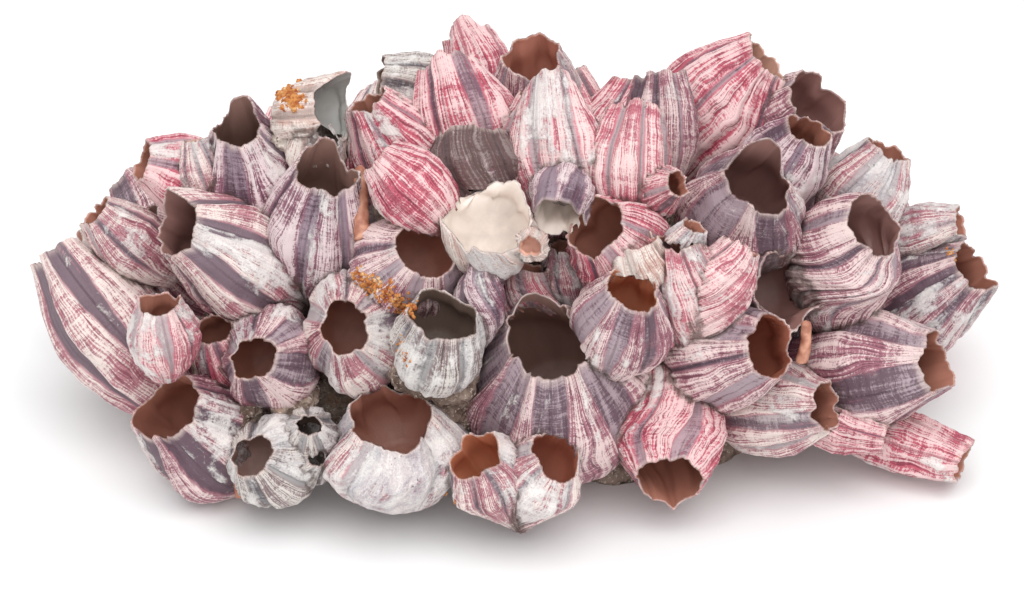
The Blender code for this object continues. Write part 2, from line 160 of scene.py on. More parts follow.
# What the smooth insides show
HOLLOWS = {
    "umber": ink(176, 140, 130),
    "soot": ink(132, 112, 102),
    "brown": ink(192, 134, 116),
    "rust": ink(204, 142, 124),
    "amber": ink(220, 146, 112),
    "brick": ink(196, 126, 104),
    "clay": ink(226, 180, 162),
    "plum": ink(172, 130, 124),
    "cream": ink(250, 240, 231),
    "ash": ink(196, 197, 194),
}

# How each kind of shell looks: inside, width of the sunken plates at the lip, chalk, dirt with painted shade,
# and ribs
LOOKS = {
    "rose": {"hollow": "brown", "sunken": 0.30, "chalk": 0.25, "dirt": 0.35, "ribs": 1.0},
    "pink": {"hollow": "brown", "sunken": 0.32, "chalk": 0.32, "dirt": 0.30, "ribs": 1.0},
    "mauve": {"hollow": "umber", "sunken": 0.50, "chalk": 0.35, "dirt": 0.40, "ribs": 0.8},
    "purple": {"hollow": "umber", "sunken": 0.50, "chalk": 0.40, "dirt": 0.35, "ribs": 0.9},
    "white": {"hollow": "brown", "sunken": 0.38, "chalk": 0.60, "dirt": 0.35, "ribs": 0.9},
    "grey": {"hollow": "soot", "sunken": 0.35, "chalk": 0.62, "dirt": 0.55, "ribs": 0.8},
    "cream": {"hollow": "cream", "sunken": 0.30, "chalk": 0.60, "dirt": 0.15, "ribs": 0.5},
}

# Every node and the shells grown together in it, the ones that keep their whole shape first
NODES = {
    "heart_pair": [
        seen((476, 456), 128, 34, 0.030, 0.0240, 0.0140, "white", proud=0.012, root_px=(519, 530), drop=0.019,
             foot=0.10, seed=3, hollow="amber", chalk=0.5, peaks=((30, 0.10),)),
        seen((556, 456), 50, 36, 0.030, 0.0250, 0.0145, "white", proud=0.012, root_px=(521, 531), drop=0.019,
             foot=0.10, seed=4, hollow="brick", chalk=0.5, peaks=((60, 0.12),)),
    ],
    "front_giant": [
        seen((548, 342), 95, 34, 0.056, 0.052, 0.0245, "mauve", root_px=(572, 436), drop=0.056, seed=0,
             sunken=0.80, ribs=0.5, chalk=0.1, peaks=((100, 0.30),)),
    ],
    "front_white": [
        seen((392, 418), 97, 41, 0.044, 0.040, 0.0235, "white", root_px=(410, 500), drop=0.018, seed=1,
             chalk=1.1, peaks=((120, 0.08), (20, 0.10))),
    ],
    "front_hanging": [
        seen((670, 482), -92, 42, 0.050, 0.033, 0.018, "rose", proud=0.004, root_px=(652, 360),
             drop=0.008, seed=2,
             sunken=0.60, chalk=0.4, peaks=((-100, 0.02),)),
    ],
    "centre_orange_mouth": [
        seen((633, 290), 74, 48, 0.034, 0.029, 0.015, "mauve", proud=0.008, hollow="amber")
    ],
    "right_front": [
        seen((770, 347), 12, 40, 0.050, 0.034, 0.017, "mauve", proud=0.004, hollow="brick", dirt=0.6),
    ],
    "right_front_small": [seen((826, 408), 4, 55, 0.044, 0.027, 0.015, "white", proud=-0.004)],
    "right_lower_big": [
        seen((935, 362), 9, 62, 0.054, 0.035, 0.018, "mauve", proud=0.006, hollow="brown", chalk=0.5),
    ],
    "left_low_gaper": [
        seen((168, 409), 137, 48, 0.044, 0.036, 0.0205, "mauve", hollow="brown", shade=0.2,
             peaks=((70, 0.15),)),
    ],
    "left_low_trio": [
        seen((254, 455), 150, 28, 0.028, 0.027, 0.0115, "grey", proud=0.011, hollow="umber", floor=0.5),
        seen((309, 425), 80, 30, 0.018, 0.017, 0.0060, "grey", proud=0.002),
        seen((317, 456), 20, 34, 0.018, 0.017, 0.0056, "grey", proud=0.004),
    ],
    "left_front_round": [seen((254, 358), 175, 18, 0.034, 0.030, 0.012, "mauve", hollow="brown", chalk=0.5)],
    "middle_rusty": [seen((345, 328), 178, 16, 0.036, 0.036, 0.014, "white", hollow="brown", chalk=0.5)],
    "middle_crimson": [
        seen((424, 251), 52, 34, 0.036, 0.0325, 0.0165, "mauve", root_px=(398, 276), drop=0.032,
             hollow="rust", sunken=0.35),
    ],
    "middle_dark_mouth": [seen((442, 317), 80, 40, 0.032, 0.027, 0.0180, "grey", proud=0.012)],
    "centre_dark_mouth": [seen((597, 228), 142, 42, 0.038, 0.030, 0.018, "rose", hollow="brown")],
    "centre_pink_white": [seen((678, 240), 98, 63, 0.042, 0.024, 0.011, "pink", chalk=0.45)],
    "right_gaper": [
        seen((874, 226), 24, 50, 0.050, 0.033, 0.0195, "mauve", root_px=(842, 332), drop=0.022,
             hollow="plum", chalk=0.4, peaks=((95, 0.15),)),
    ],
    "right_middle_gaper": [
        seen((759, 184), 68, 30, 0.044, 0.036, 0.0180, "mauve", hollow="plum", chalk=0.75,
             peaks=((85, 0.60),)),
    ],
    "left_front_tulip": [
        seen((161, 304), 94, 60, 0.030, 0.0200, 0.0118, "pink", proud=0.008, root_px=(166, 374), drop=0.014,
             chalk=0.3, peaks=((150, 0.15),)),
    ],
    "left_gaper": [
        seen((178, 228), 152, 54, 0.054, 0.035, 0.018, "white", hollow="plum", chalk=0.45,
             shade=0.4, peaks=((110, 0.30),)),
    ],
    "left_middle": [
        seen((326, 173), 76, 47, 0.054, 0.031, 0.016, "purple", chalk=0.4, peaks=((95, 0.42),)),
    ],
    "left_top_purple": [
        seen((238, 130), 104, 52, 0.044, 0.032, 0.014, "purple", chalk=0.35, peaks=((90, 0.50),)),
    ],
    "broken_white": [
        seen((488, 220), 100, 44, 0.022, 0.0262, 0.0255, "cream", proud=0.004, root_px=(490,
             228), drop=0.022, floor=0.5,
             peaks=((180, 0.10), (55, 0.20))),
        seen((530, 247), 240, 30, 0.012, 0.0100, 0.0060, "cream", proud=0.013, root_px=(524,
             256), drop=0.011, floor=0.72,
             hollow="clay"),
    ],
    "bright_pink": [
        seen((764, 58), 44, 74, 0.050, 0.036, 0.016, "rose", hollow="clay", sunken=0.12, chalk=0.1, ribs=1.4)
    ],
    "top_belly": [
        seen((551, 90), 91, 94, 0.042, 0.034, 0.0180, "pink", sunken=0.40, chalk=0.5, peaks=((None, 0.32),)),
    ],
    "purple_cap": [
        seen((558, 218), -100, 55, 0.020, 0.0185, 0.0155, "purple", hollow="cream", chalk=-0.3, sunken=0.9),
    ],
    "right_top_front": [seen((808, 130), 55, 50, 0.036, 0.025, 0.012, "purple", hollow="brown")],
    "right_top_gaper": [seen((818, 103), 38, 44, 0.036, 0.028, 0.019, "mauve", proud=-0.010, hollow="plum")],
    "far_right": [
        seen((973, 268), 32, 57, 0.048, 0.033, 0.016, "mauve", hollow="brown", chalk=0.5, shade=0.2),
    ],
    "right_low_point": [
        seen((963, 462), -16, 78, 0.046, 0.0185, 0.0120, "rose", sunken=0.1, ribs=1.3),
        seen((884, 438), -10, 88, 0.030, 0.0130, 0.0070, "rose", sunken=0.1, ribs=1.3),
    ],
    "far_left_giant": [seen((58, 252), 122, 96, 0.060, 0.034, 0.018, "white", chalk=0.45, shade=0.5)],
    "striped_pink": [seen((742, 246), 62, 86, 0.034, 0.019, 0.010, "pink", sunken=0.15)],
    "left_upper": [
        seen((143, 162), 165, 72, 0.030, 0.024, 0.012, "rose"),
        seen((196, 140), 100, 85, 0.022, 0.013, 0.006, "white"),
    ],
    "left_back_small": [seen((95, 213), 140, 72, 0.032, 0.020, 0.010, "white", chalk=0.3)],
    "pink_left": [seen((367, 102), 124, 70, 0.044, 0.028, 0.011, "rose", sunken=0.15, chalk=0.35)],
    "pink_left_lower": [seen((380, 158), 140, 92, 0.030, 0.022, 0.011, "rose", proud=0.006, sunken=0.1)],
    "orange_crusted": [
        seen((332, 112), 14, 58, 0.032, 0.023, 0.018, "cream", root_px=(296, 124), drop=0.016, floor=0.6,
             hollow="ash", chalk=0.5, dirt=1.0, peaks=((88, 0.45),)),
        seen((313, 122), 95, 50, 0.024, 0.017, 0.008, "cream"),
    ],
    "pink_leaning": [
        seen((450, 68), 105, 95, 0.040, 0.031, 0.0180, "rose", sunken=0.3, peaks=((None, 0.25),)),
    ],
    "top_gaper": [seen((533, 57), 95, 48, 0.036, 0.027, 0.018, "mauve", proud=-0.006, hollow="rust")],
    "top_peak": [
        seen((466, 34), 112, 95, 0.030, 0.0195, 0.0120, "rose", proud=-0.014, sunken=0.1,
             peaks=((None, 0.42),)),
    ],
    "grey_back": [seen((380, 78), 172, 82, 0.030, 0.020, 0.012, "grey", proud=-0.012)],
    "speckled_pink": [
        seen((636, 110), 80, 94, 0.040, 0.026, 0.016, "pink", sunken=0.5, chalk=0.15, peaks=((None, 0.15),)),
        seen((677, 184), 20, 35, 0.020, 0.014, 0.007, "pink", hollow="rust"),
    ],
    "mauve_back_fan": [seen((662, 76), 92, 98, 0.034, 0.022, 0.014, "mauve", proud=-0.010, chalk=0.5)],
    "right_white": [seen((888, 150), 62, 70, 0.034, 0.025, 0.012, "white", chalk=0.8)],
    "right_back_white": [seen((960, 222), 12, 74, 0.028, 0.018, 0.010, "white", chalk=0.7)],
    "right_hollow": [
        seen((790, 288), 10, 24, 0.036, 0.027, 0.0225, "mauve", proud=-0.012, hollow="plum",
             peaks=((180, 0.1),)),
    ],
    "inner_pointed": [seen((485, 262), 82, 80, 0.026, 0.015, 0.007, "purple")],
    "back_low_right": [
        behind(33, 15, 0.044, 0.038, 0.018, "mauve"),
        behind(47, 19, 0.044, 0.042, 0.019, "rose"),
    ],
    "back_low_middle": [
        behind(67, 17, 0.044, 0.044, 0.020, "rose"),
        behind(91, 20, 0.044, 0.046, 0.022, "mauve"),
    ],
    "back_low_left": [
        behind(115, 17, 0.044, 0.042, 0.018, "mauve"),
        behind(134, 19, 0.046, 0.044, 0.020, "pink"),
    ],
    "back_left": [
        behind(148, 16, 0.044, 0.038, 0.016, "pink"),
        behind(160, 20, 0.044, 0.036, 0.016, "mauve"),
    ],
    "back_end_right": [
        behind(3, 15, 0.046, 0.036, 0.016, "rose"),
        behind(18, 18, 0.046, 0.038, 0.017, "pink", share=0.92),
    ],
    "back_end_left": [
        behind(171, 14, 0.048, 0.038, 0.016, "white"),
        behind(176, 25, 0.048, 0.036, 0.014, "mauve", share=0.84),
    ],
    "back_mid_right": [
        behind(20, 31, 0.046, 0.038, 0.015, "pink", share=0.86),
        behind(38, 38, 0.046, 0.042, 0.017, "mauve", share=0.93),
    ],
    "back_mid_middle": [
        behind(60, 36, 0.048, 0.044, 0.018, "white"),
        behind(80, 42, 0.050, 0.044, 0.017, "pink"),
    ],
    "back_mid_left": [
        behind(101, 38, 0.050, 0.046, 0.019, "rose"),
        behind(121, 41, 0.048, 0.042, 0.016, "white", share=0.92),
    ],
    "back_high_left": [
        behind(140, 35, 0.046, 0.042, 0.016, "pink", share=0.89),
        behind(156, 31, 0.044, 0.036, 0.014, "rose", share=0.86),
        behind(169, 38, 0.044, 0.034, 0.014, "white", share=0.76),
    ],
    "back_top_right": [
        behind(48, 54, 0.042, 0.038, 0.014, "rose", share=0.85),
        behind(73, 60, 0.042, 0.036, 0.015, "pink", share=0.85),
    ],
    "back_top_left": [
        behind(106, 59, 0.042, 0.036, 0.014, "mauve", share=0.83),
        behind(131, 54, 0.042, 0.038, 0.013, "white", share=0.81),
        behind(150, 64, 0.040, 0.032, 0.012, "rose", share=0.80),
    ],
}


# Small shells and stumps that show in the gaps, on what the nodes' shells leave free
GAP_SHELLS = {
    "shaded_base_plate": [
        # This plate lies in shade in the gap: it is given much less chalk and a very high dirt value, which
        # paints that shade on as dark brown
        seen((472, 136), 92, 100, 0.026, 0.030, 0.022, "purple", proud=-0.008, root_px=(474, 212), drop=0.004,
             chalk=-0.9, dirt=2.6),
    ],
    "inner_left_stump": [seen((462, 262), 100, 75, 0.026, 0.018, 0.009, "pink", proud=-0.012, dirt=0.5)],
    "inner_right_stump": [seen((530, 268), 80, 78, 0.028, 0.022, 0.010, "pink", proud=-0.020, dirt=0.6)],
    "inner_far_stump": [seen((566, 246), 95, 70, 0.022, 0.016, 0.009, "white", proud=-0.020, dirt=0.5)],
    "clear_fan": [
        seen((634, 240), 100, 66, 0.020, 0.018, 0.012, "cream", proud=0.002, chalk=0.2, hollow="clay"),
    ],
    "white_stump": [seen((694, 226), 60, 60, 0.016, 0.011, 0.006, "white", proud=0.004, chalk=0.9)],
    "tiny_tube": [seen((392, 96), 80, 60, 0.012, 0.007, 0.004, "cream", proud=0.0)],
    "left_gap_shell": [seen((214, 330), 120, 40, 0.026, 0.022, 0.010, "rose", proud=-0.014, dirt=0.5)],
}

# Smooth tan stumps of flesh-coloured tube in the gaps: the pixels of both ends, how far back and how thick
STUMPS = (
    ((360, 166), (362, 240), -0.008, 0.0019),
    ((487, 256), (484, 304), 0.000, 0.0022),
    ((806, 320), (801, 362), -0.009, 0.0015),
    ((230, 450), (240, 496), -0.002, 0.0012),
    ((616, 406), (610, 444), -0.004, 0.0019),
)

# Clumps of grit that fill the gaps: pixel, how far out and size
CLUMPS = (
    ((440, 366), -0.010, 0.012),
    ((448, 402), -0.016, 0.010),
    ((622, 392), -0.012, 0.007),
    ((238, 420), -0.014, 0.008),
    ((296, 396), -0.016, 0.008),
)

# Cream crust full of pits, in the same way
PALE_CLUMPS = (
    ((297, 137), -0.011, 0.0060),
    ((314, 126), -0.012, 0.0062),
    ((335, 130), -0.018, 0.0048),
)

# Crumbly orange and yellow growths: the pixels of both ends, spread, number and size of the crumbs
GROWTHS = (
    ((358, 274), (410, 310), 0.0013, 420, 0.0008),
    ((402, 336), (409, 358), 0.0009, 90, 0.0005),
    ((280, 84), (286, 91), 0.0014, 170, 0.0010),
    ((292, 97), (298, 104), 0.0013, 130, 0.0010),
    ((448, 496), (452, 506), 0.0010, 24, 0.0005),
    ((952, 250), (956, 258), 0.0006, 22, 0.0006),
)


def ease(value, low, high):
    """0 at low, 1 at high, smooth between them."""
    t = np.clip((value - low) / (high - low), 0, 1)
    return t * t * (3 - 2 * t)


def ripple(points, size, seed, waves=9):
    """A smooth random field over points, about -1 to 1, with lumps of the given size."""
    draw = np.random.default_rng(seed)
    total = 0
    for _ in range(waves):
        way = draw.normal(size=3)
        way *= 2 * math.pi / size * draw.uniform(0.55, 1.5) / np.linalg.norm(way)
        total = total + np.cos(points @ way + draw.uniform(0, 2 * math.pi))
    return total / math.sqrt(waves)


def smooth_curve(stops, at):
    """A smooth line through the stops."""
    xs, ys = np.array(stops, float).T
    slopes = np.gradient(ys, xs)
    k = np.clip(np.searchsorted(xs, at, side="right") - 1, 0, len(xs) - 2)
    span = xs[k + 1] - xs[k]
    t = (at - xs[k]) / span
    return (
        ys[k] * (2 * t**3 - 3 * t**2 + 1)
        + slopes[k] * span * (t**3 - 2 * t**2 + t)
        + ys[k + 1] * (3 * t**2 - 2 * t**3)
        + slopes[k + 1] * span * (t**3 - t**2)
    )


def picture_way(bearing):
    """A bearing on the picture as a direction, or the way to the viewer where there is none."""
    if bearing is None:
        return SIGHT
    return SIGHT_RIGHT * math.cos(math.radians(bearing)) + SIGHT_UP * math.sin(math.radians(bearing))


def unit(rows):
    return rows / np.linalg.norm(rows, axis=1, keepdims=True)


def apart_angle(angle, other):
    """The angle between two ways round a shell, without its sign."""
    return np.abs((angle - other + math.pi) % (2 * math.pi) - math.pi)


def spine(one, share):
    """The curved middle line at each share of the height: place, heading and the two ways across it."""
    start, end = np.array(one["root"]), np.array(one["mouth"])
    bend = end - np.array(one["axis"]) * np.linalg.norm(end - start) * 0.5
    t = share[:, None]
    place = start * (1 - t) ** 2 + bend * 2 * t * (1 - t) + end * t**2
    heading = unit((bend - start) * (1 - t) + (end - bend) * t)
    across = unit(np.cross(heading, (0.3, 0.2, 1)))
    along = np.cross(heading, across)
    return place, heading, across, along


def floor_share(one):
    """How far up its height the floor of a shell's hollow is."""
    return FAR_FLOOR_SHARE if one["hidden"] else one["floor"]


def grow_shell(one):
    """One shell's surface as a grid that goes up the outside, over the lip and down the hollow."""
    draw = np.random.default_rng(one["seed"] + 40)
    fine = 0.7 if one["hidden"] else 1.0
    columns = int(np.clip(one["belly"] * 2 * COLUMNS_PER_METRE, 60, 190) * fine)
    rows = int(np.clip(one["height"] * ROWS_PER_METRE, 20, 48) * fine)
    low = floor_share(one)
    up = 1 - (1 - np.linspace(0, 1, rows)) ** 1.25
    down = low + (1 - low) * (1 - np.linspace(0, 1, rows // 2) ** 1.3)
    share = np.concatenate([up, down])
    inner = np.concatenate([np.zeros(rows), np.ones(rows // 2)])
    place, heading, across, along = spine(one, share)

    # The six plates, of uneven width, with a raised ribbed middle and a sunken smooth joint between
    angle = 2 * math.pi * np.arange(columns) / columns
    turn, sway = draw.uniform(0, 2 * math.pi, 2)
    twist = one["twist"] = draw.uniform(-0.30, 0.30)
    warped = angle + 0.26 * np.sin(angle + turn) + 0.11 * np.sin(2 * angle + sway)
    plate = PLATES * warped / (2 * math.pi) + draw.uniform(0, 1) + PLATES
    number = np.floor(plate).astype(int)
    side = 2 * (plate - number) - 1
    edge = np.abs(side)
    around = np.stack([np.broadcast_to(f(angle), (len(share), columns)) for f in (np.cos, np.sin)], -1)
    tall = share[:, None] * one["height"] / one["belly"]
    spot = np.concatenate([around, np.broadcast_to(tall, around.shape[:2])[..., None]], -1)
    widths = draw.uniform(0.25, 1.6, PLATES)
    joint = np.where(side < 0, widths[number % PLATES], widths[(number + 1) % PLATES])
    ribbed = 1 - np.clip(one["sunken"] * joint, 0, 0.88)[None, :] * ease(share, -0.1, 1.1)[:, None]
    part = edge[None, :] / ribbed
    wave = 0.10 * ripple(spot, 1.3, one["seed"] + 11) + 0.05 * ripple(spot, 0.5, one["seed"] + 12)
    line = np.clip(side[None, :] / ribbed + wave, -1.3, 1.3)
    sunk = ease(part, 0.90, 1.08)
    phases = draw.uniform(0, 2 * math.pi, (4, PLATES))[:, number % PLATES]
    crests = sum(
        weight * np.sin(math.pi * beats * line + phases[k][None, :])
        for k, (beats, weight) in enumerate(((2.2, 0.35), (3.3, 0.4), (4.4, 0.35), (5.6, 0.2)))
    )
    crests *= (1 - sunk) * (1 - edge[None, :] ** 10)

    # The radius all round
    belly, lip = one["belly"], one["lip"]
    low_stop, high_stop = PROFILE
    waist = (low_stop[0], low_stop[1] - (FOOT_RADIUS - one["foot"]) * WAIST_TAPER)
    stops = ((0.0, one["foot"]), waist, high_stop, (1.0, (lip + RIM) / belly))
    outer = belly * smooth_curve(stops, share)[:, None]
    stretch = 1 + Random(one["seed"]).uniform(-OVAL_SPREAD, OVAL_SPREAD)
    cos, sin = np.cos(angle), np.sin(angle)
    oval = np.sqrt((cos * stretch) ** 2 + (sin / stretch) ** 2)[None, :]
    grow = np.minimum(1, share * 2.4)[:, None]
    calm = 1 - 0.6 * ease(share, 0.6, 1.0)[:, None]
    bulge = belly * grow * calm * (0.065 * (1 - np.clip(part, 0, 1) ** 2) - 0.060 * sunk)
    swing, sides = draw.uniform(0, 2 * math.pi, 2)
    uneven = 0.09 * np.cos(2 * angle + swing) + 0.06 * np.cos(3 * angle + sides)
    uneven = uneven + 0.03 * np.cos(5 * angle + sway)
    bulge = bulge + lip * uneven[None, :] * ease(share, 0.45, 1.0)[:, None]
    lumps = belly * 0.030 * ripple(spot, 1.7, one["seed"])
    lumps = lumps + belly * 0.010 * ripple(spot, 0.6, one["seed"] + 5)
    ledges = np.sin(2 * math.pi * (share[:, None] * 7.3 + 0.35 * ripple(spot, 1.5, one["seed"] + 9)))
    relief = 0.00058 * one["ribs"] * crests * ease(share, 0.0, 0.25)[:, None] + 0.00012 * ledges
    body = outer * oval + bulge + lumps
    wall = RIM + (WALL - RIM) * ease(1 - share, 0.0, 0.22)[:, None]
    depth = (share - low) / (1 - low)
    room = belly * smooth_curve(HOLLOW_PROFILE, np.clip(depth, 0, 1))[:, None]
    hollow = np.minimum(body - wall, room) + 0.00006 * crests
    radius = np.where(inner[:, None] > 0, hollow, body + relief)

    # The worn lip stands up at the plates' middles and is chipped between them
    chips = sum(np.sin(angle * beats + draw.uniform(0, 6)) / beats**0.5 for beats in (4, 7, 11, 17, 26, 37))
    rise = lip * 2 * (0.05 * (1 - edge) - 0.02 + 0.028 * chips)
    for _ in range(4):
        gap = apart_angle(angle, draw.uniform(0, 2 * math.pi))
        rise -= lip * draw.uniform(0.05, 0.24) * (1 - ease(gap, 0.05, draw.uniform(0.15, 0.40)))
    for bearing, size in one["peaks"] or ((draw.uniform(0, 360), draw.uniform(0.05, 0.16)),):
        way = np.array(picture_way(bearing))
        toward = math.atan2(way @ along[rows - 1], way @ across[rows - 1]) - twist
        rise += lip * 2 * size * np.clip(1 - (apart_angle(angle, toward) / 0.85) ** 2, 0, 1)
    lift = rise[None, :] * ease(share, 0.70, 1.0)[:, None]

    turned = angle[None, :] + twist * share[:, None]
    way = across[:, None, :] * np.cos(turned)[..., None] + along[:, None, :] * np.sin(turned)[..., None]
    points = place[:, None, :] + way * radius[..., None] + heading[:, None, :] * lift[..., None]
    tips = [
        place[0] - heading[0] * ROOT_TIP,
        place[-1] - heading[-1] * FLOOR_DIP,
    ]
    height_share = np.broadcast_to(share[:, None], part.shape)
    lines = np.stack([line + 7.0 * (number % PLATES)[None, :], height_share, sunk], -1)
    lines[..., 0] += one["seed"] * 3.7
    worn = np.where(inner > 0, ease(share, 0.985, 1.0), ease(share, 0.955, 1.0))
    up_the_wall = np.broadcast_to(tall * belly, part.shape)[..., None]
    unrolled = np.concatenate([around * belly, up_the_wall], -1) * 100
    marks = np.stack(
        [
            0.5 + 0.5 * np.clip(crests, -1, 1),
            np.broadcast_to(inner[:, None], part.shape),
            np.broadcast_to(worn[:, None], part.shape),
        ],
        -1,
    )
    pale = draw.uniform(-0.45, 0.45, PLATES)[number % PLATES]
    gloom = draw.uniform(-0.25, 0.25, PLATES)
    gloom = np.where(side < 0, gloom[number % PLATES], gloom[(number + 1) % PLATES])
    shade = np.full(columns, one["shade"])
    plates = np.stack([np.broadcast_to(values, part.shape) for values in (pale, gloom, shade)], -1)
    one["grid"] = {
        "plates": plates,
        "outer_rows": rows,
        "share": share[:rows],
        "radius": radius[:rows],
        "points": points,
        "tips": np.array(tips),
        "lines": lines,
        "marks": marks,
        "unrolled": unrolled,
        "rings": (rows + rows // 2, columns),
    }


def depth_inside(one, points):
    """How deep each point is under a shell's outside with its mouth closed over, negative outside it."""
    grid = one["grid"]
    share = np.linspace(0, 1, 18)
    place, heading, across, along = spine(one, share)
    ahead = points @ heading.T - np.sum(place * heading, axis=1)
    passed = (ahead > 0).sum(axis=1)
    k = np.clip(passed, 1, len(share) - 1)
    row = np.arange(len(points))
    low, high = ahead[row, k - 1], ahead[row, k]
    t = np.clip(low / np.where(np.abs(low - high) < 1e-9, 1e-9, low - high), 0, 1)[:, None]
    centre = place[k - 1] * (1 - t) + place[k] * t
    right = across[k - 1] * (1 - t) + across[k] * t
    up = along[k - 1] * (1 - t) + along[k] * t
    away = points - centre
    reach = np.linalg.norm(away, axis=1)
    angle = np.arctan2(np.sum(away * up, axis=1), np.sum(away * right, axis=1))
    columns = grid["rings"][1]
    at = share[k - 1] + (share[k] - share[k - 1]) * t[:, 0]
    column = np.round((angle - one["twist"] * at) / (2 * math.pi) * columns).astype(int) % columns
    line = np.clip(np.searchsorted(grid["share"], at), 0, grid["outer_rows"] - 1)
    depth = grid["radius"][line, column] - reach
    beyond = np.where(passed == 0, -ahead[:, 0], np.where(passed == len(share), ahead[:, -1], -1.0))
    return np.where(beyond > 0, np.minimum(depth, -beyond), depth)


def near_each_other(one, other, extra=0.004):
    """True where two shells may touch."""
    middle = (one["root"] + one["mouth"]) / 2 - (other["root"] + other["mouth"]) / 2
    reach = [(s["root"] - s["mouth"]).length / 2 + s["belly"] * 1.2 for s in (one, other)]
    return middle.length < sum(reach) + extra


def box_near(one, points, extra=0.004):
    """Which points lie in a shell's own box."""
    shell = one["grid"]["points"][: one["grid"]["outer_rows"]].reshape(-1, 3)
    low, high = shell.min(0) - extra, shell.max(0) + extra
    return np.all((points > low) & (points < high), axis=1)


def settle(points, shells, cutting):
    """Which points are buried in a cutting shell, and how near each point is to any shell, which paints shade
    into the crevices.
    """
    buried = np.zeros(len(points), bool)
    close = np.zeros(len(points))
    for other in shells:
        inside = np.flatnonzero(box_near(other, points))
        if not len(inside):
            continue
        depth = depth_inside(other, points[inside])
        close[inside] = np.maximum(close[inside], ease(depth, -0.0035, 0.0))
        if id(other) in cutting:
            buried[inside] |= depth > BURIED
    return buried, close


def quads_of(rings, offset):
    """The faces of a grid closed round its columns, and the fans that close its two ends."""
    rows, columns = rings
    i, j = np.meshgrid(np.arange(rows - 1), np.arange(columns), indexing="ij")
    k = (j + 1) % columns
    quads = np.stack([i * columns + j, i * columns + k, (i + 1) * columns + k, (i + 1) * columns + j], -1)
    quads = quads.reshape(-1, 4) + offset
    j = np.arange(columns)
    k = (j + 1) % columns
    first, last = rows * columns + offset, rows * columns + 1 + offset
    top = (rows - 1) * columns + offset
    root = np.stack([k + offset, j + offset, np.full(columns, first)], -1)
    floor = np.stack([top + j, top + k, np.full(columns, last)], -1)
    return quads, np.concatenate([root, floor])


def make_piece(name, points, faces, values, finishes, slots, node):
    """A piece from arrays, with its point values, riding on the body in its node's place."""
    kept = np.unique(np.concatenate([np.array(face) for face in faces]))
    index = np.full(len(points), -1)
    index[kept] = np.arange(len(kept))
    mesh = bpy.data.meshes.new(name)
    mesh.from_pydata(points[kept].tolist(), [], [index[np.array(face)].tolist() for face in faces])
    for title, rows in values.items():
        layer = mesh.attributes.new(title, "FLOAT_VECTOR", "POINT")
        layer.data.foreach_set("vector", rows[kept].astype(np.float32).ravel())
    for finish in finishes:
        mesh.materials.append(finish)
    mesh.polygons.foreach_set("material_index", np.array(slots, np.int32))
    mesh.shade_smooth()
    piece = bpy.data.objects.new(name, mesh)
    bpy.context.scene.collection.objects.link(piece)
    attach(piece, "root")
    if node:
        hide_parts(node)
    return piece


def shell_arrays(one):
    """A shell's points and point values as flat lists, its two end points last."""
    grid = one["grid"]
    points = np.concatenate([grid["points"].reshape(-1, 3), grid["tips"]])
    lines = np.concatenate([grid["lines"].reshape(-1, 3), [[0, 0, 0], [0, floor_share(one), 0]]])
    marks = np.concatenate([grid["marks"].reshape(-1, 3), [[0.5, 0, 0], [0.5, 1, 0]]])
    unrolled = np.concatenate([grid["unrolled"].reshape(-1, 3), np.zeros((2, 3))])
    plates = np.concatenate([grid["plates"].reshape(-1, 3), np.zeros((2, 3))])
    return points, lines, marks, unrolled, plates


class Strand:
    """The value on one socket of a finish."""

    def __init__(self, finish, socket):
        self.finish = finish
        self.socket = socket

    def __add__(self, other):
        return self.finish.maths("ADD", self, other)

    def __sub__(self, other):
        return self.finish.maths("SUBTRACT", self, other)

    def __rsub__(self, other):
        return self.finish.maths("SUBTRACT", other, self)

    def __mul__(self, other):
        return self.finish.maths("MULTIPLY", self, other)

    __radd__ = __add__
    __rmul__ = __mul__


class Finish:
    """A material under construction."""

    def __init__(self, name):
        self.material = bpy.data.materials.new(name)
        self.material.use_nodes = True
        self.tree = self.material.node_tree
        self.surface = self.tree.nodes["Principled BSDF"]

    def add(self, kind, settings=None, inputs=None, output=0):
        node = self.tree.nodes.new(kind)
        for title, value in (settings or {}).items():
            setattr(node, title, value)
        for title, value in (inputs or {}).items():
            self.join(value, node.inputs[title])
        return Strand(self, node.outputs[output])

    def join(self, value, socket):
        if isinstance(value, Strand):
            self.tree.links.new(value.socket, socket)
        elif isinstance(value, tuple) and socket.type == "RGBA":
            socket.default_value = (*value, 1.0)
        else:
            socket.default_value = value

    def maths(self, operation, *values):
        return self.add("ShaderNodeMath", {"operation": operation}, dict(enumerate(values)))

    def between(self, value, low, high):
        """0 at low, 1 at high, smooth between them."""
        settings = {"interpolation_type": "SMOOTHSTEP"}
        return self.add("ShaderNodeMapRange", settings, {"Value": value, "From Min": low, "From Max": high})

    def blend(self, share, first, second):
        settings = {"data_type": "RGBA", "clamp_factor": True}
        return self.add("ShaderNodeMix", settings, {0: share, 6: first, 7: second}, output=2)

    def noise(self, vector, scale, detail=2.0, rough=0.5, warp=0.0):
        inputs = {"Vector": vector, "Scale": scale, "Detail": detail, "Roughness": rough, "Distortion": warp}
        return self.add("ShaderNodeTexNoise", None, inputs)

    def parts(self, title):
        """The three values of a point value."""
        vector = self.add("ShaderNodeAttribute", {"attribute_name": title}, output="Vector")
        return [self.add("ShaderNodeSeparateXYZ", None, {0: vector}, output=k) for k in range(3)]

    def vector(self, x, y, z):
        return self.add("ShaderNodeCombineXYZ", None, {0: x, 1: y, 2: z})

    def set(self, **values):
        for title, value in values.items():
            self.join(value, self.surface.inputs[title.replace("_", " ")])


